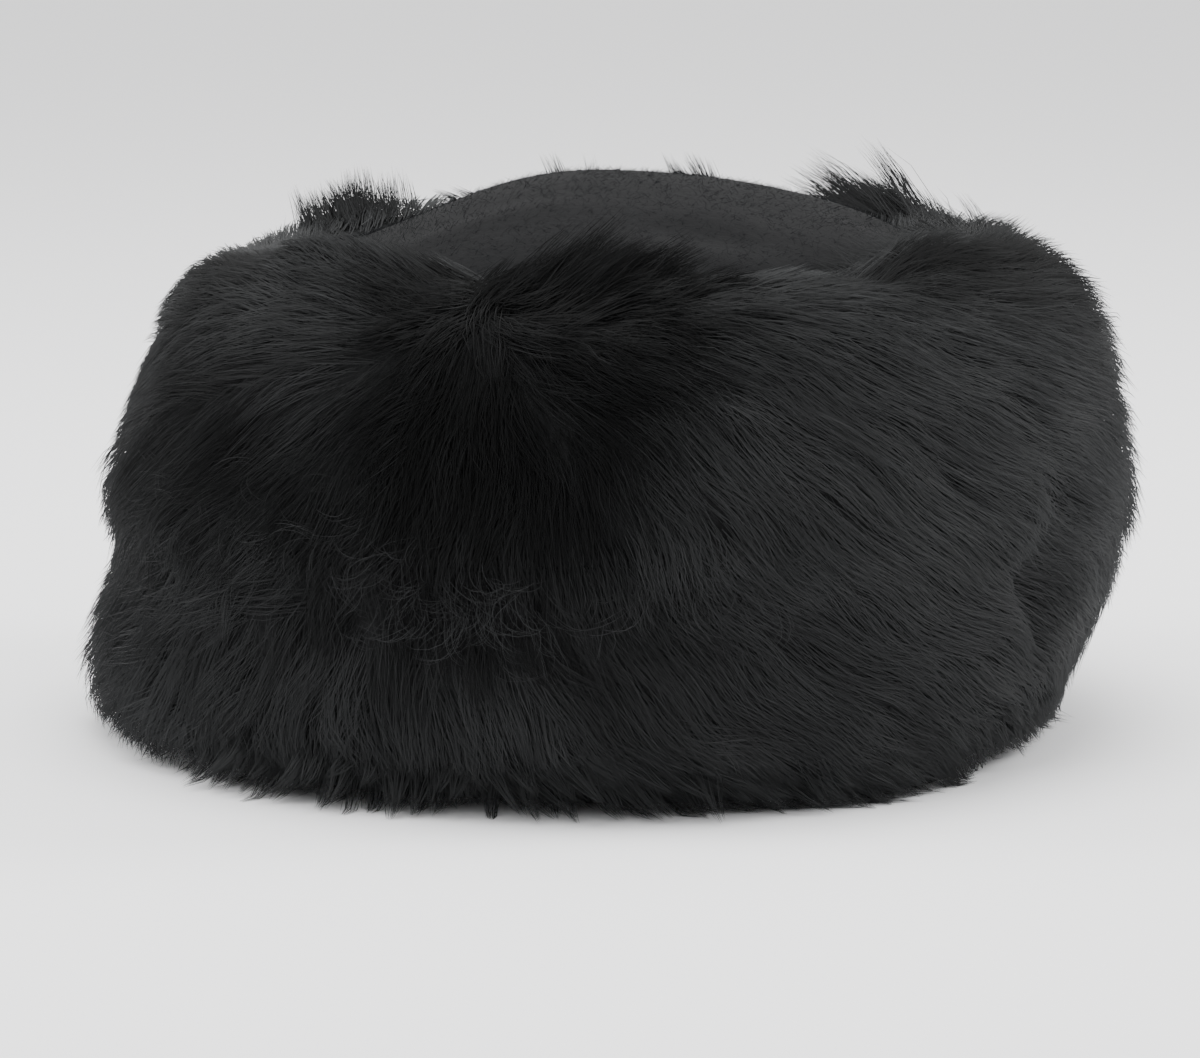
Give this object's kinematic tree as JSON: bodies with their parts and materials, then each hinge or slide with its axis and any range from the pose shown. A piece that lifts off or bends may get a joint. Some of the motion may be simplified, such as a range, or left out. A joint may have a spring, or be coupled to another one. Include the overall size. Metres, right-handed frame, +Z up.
{
  "type": "fur hat",
  "caption": "Fur hat in the Cossack style: a low felt crown in a deep band of long-haired black sheepskin, sewn from two courses and open below for the head",
  "frame": {"origin": "middle of the hat's bounding box in plan, on the surface that its rim rests on", "axes": "+Z up through the crown, +Y from the front of the hat to its back, +X to the right of someone who faces the hat's front"},
  "size_m": [0.2482, 0.2725, 0.13],
  "materials": {
    "crown": "napped wool felt, matte",
    "upper_course": "long sheepskin hair, soft sheen",
    "lower_course": "long sheepskin hair, soft sheen"
  },
  "bodies": {
    "root": {"crown": "crown", "upper_course": "upper_course", "lower_course": "lower_course"}
  },
  "joints": []
}
